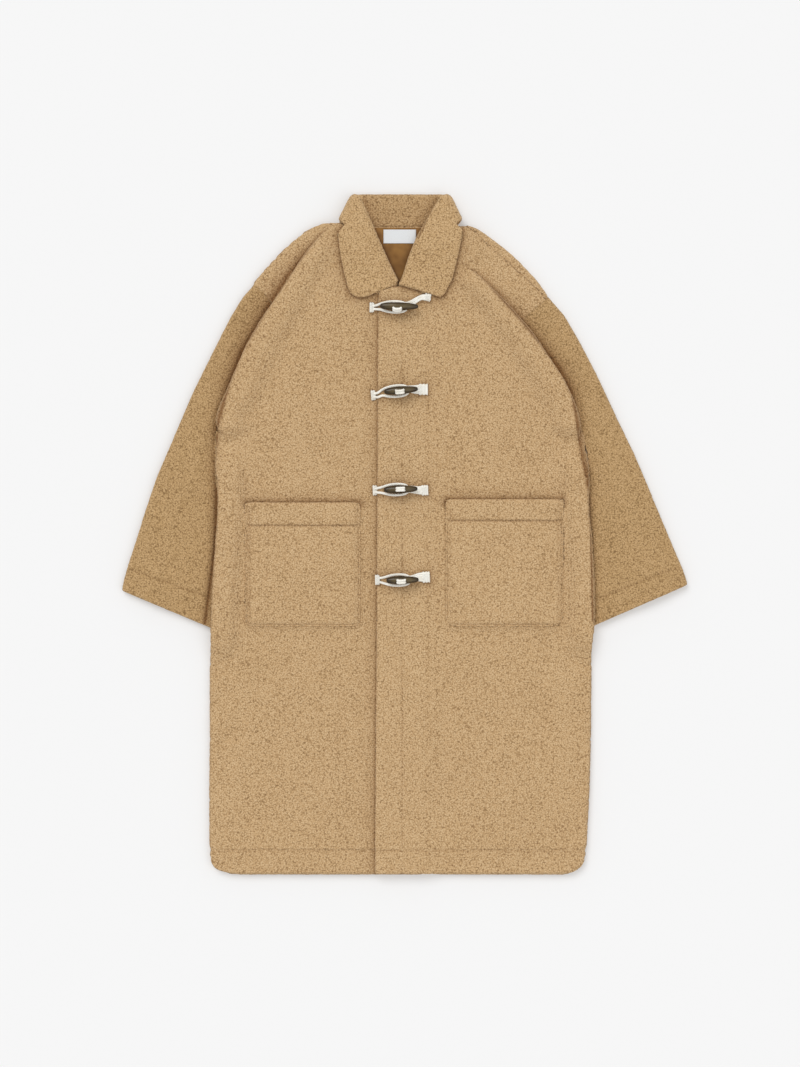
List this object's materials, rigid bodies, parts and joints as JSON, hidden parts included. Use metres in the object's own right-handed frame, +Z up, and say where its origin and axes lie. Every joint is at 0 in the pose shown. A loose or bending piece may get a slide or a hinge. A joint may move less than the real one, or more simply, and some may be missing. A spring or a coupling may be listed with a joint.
{
  "type": "duffle coat",
  "caption": "Long teddy fleece duffle coat laid flat, with a turned-down collar, toggle and loop closures, patch pockets and sleeves pulled down beside the body.",
  "frame": {"origin": "middle of the coat's bounding box, on the surface it lies on", "axes": "+Z up from the surface, out of the coat's front; +Y from the hem to the collar; +X towards the wearer's left"},
  "size_m": [0.9058, 1.087, 0.0432],
  "materials": {
    "fleece": "camel teddy fleece, short curled pile",
    "lining": "brown satin weave",
    "label": "plain white woven tape",
    "cord": "off-white twisted cotton cord",
    "horn": "dark horn-look resin, polished"
  },
  "bodies": {
    "root": {"back": "fleece", "front_left": "fleece", "front_right": "fleece", "sleeve_left": "fleece", "sleeve_right": "fleece", "collar": "fleece", "pocket_left": "fleece", "pocket_right": "fleece", "neck_lining": "lining", "neck_label": "label", "loop_1": "cord", "tie_1": "cord", "toggle_1": "horn", "loop_2": "cord", "tie_2": "cord", "toggle_2": "horn", "loop_3": "cord", "tie_3": "cord", "toggle_3": "horn", "loop_4": "cord", "tie_4": "cord", "toggle_4": "horn"}
  },
  "joints": []
}
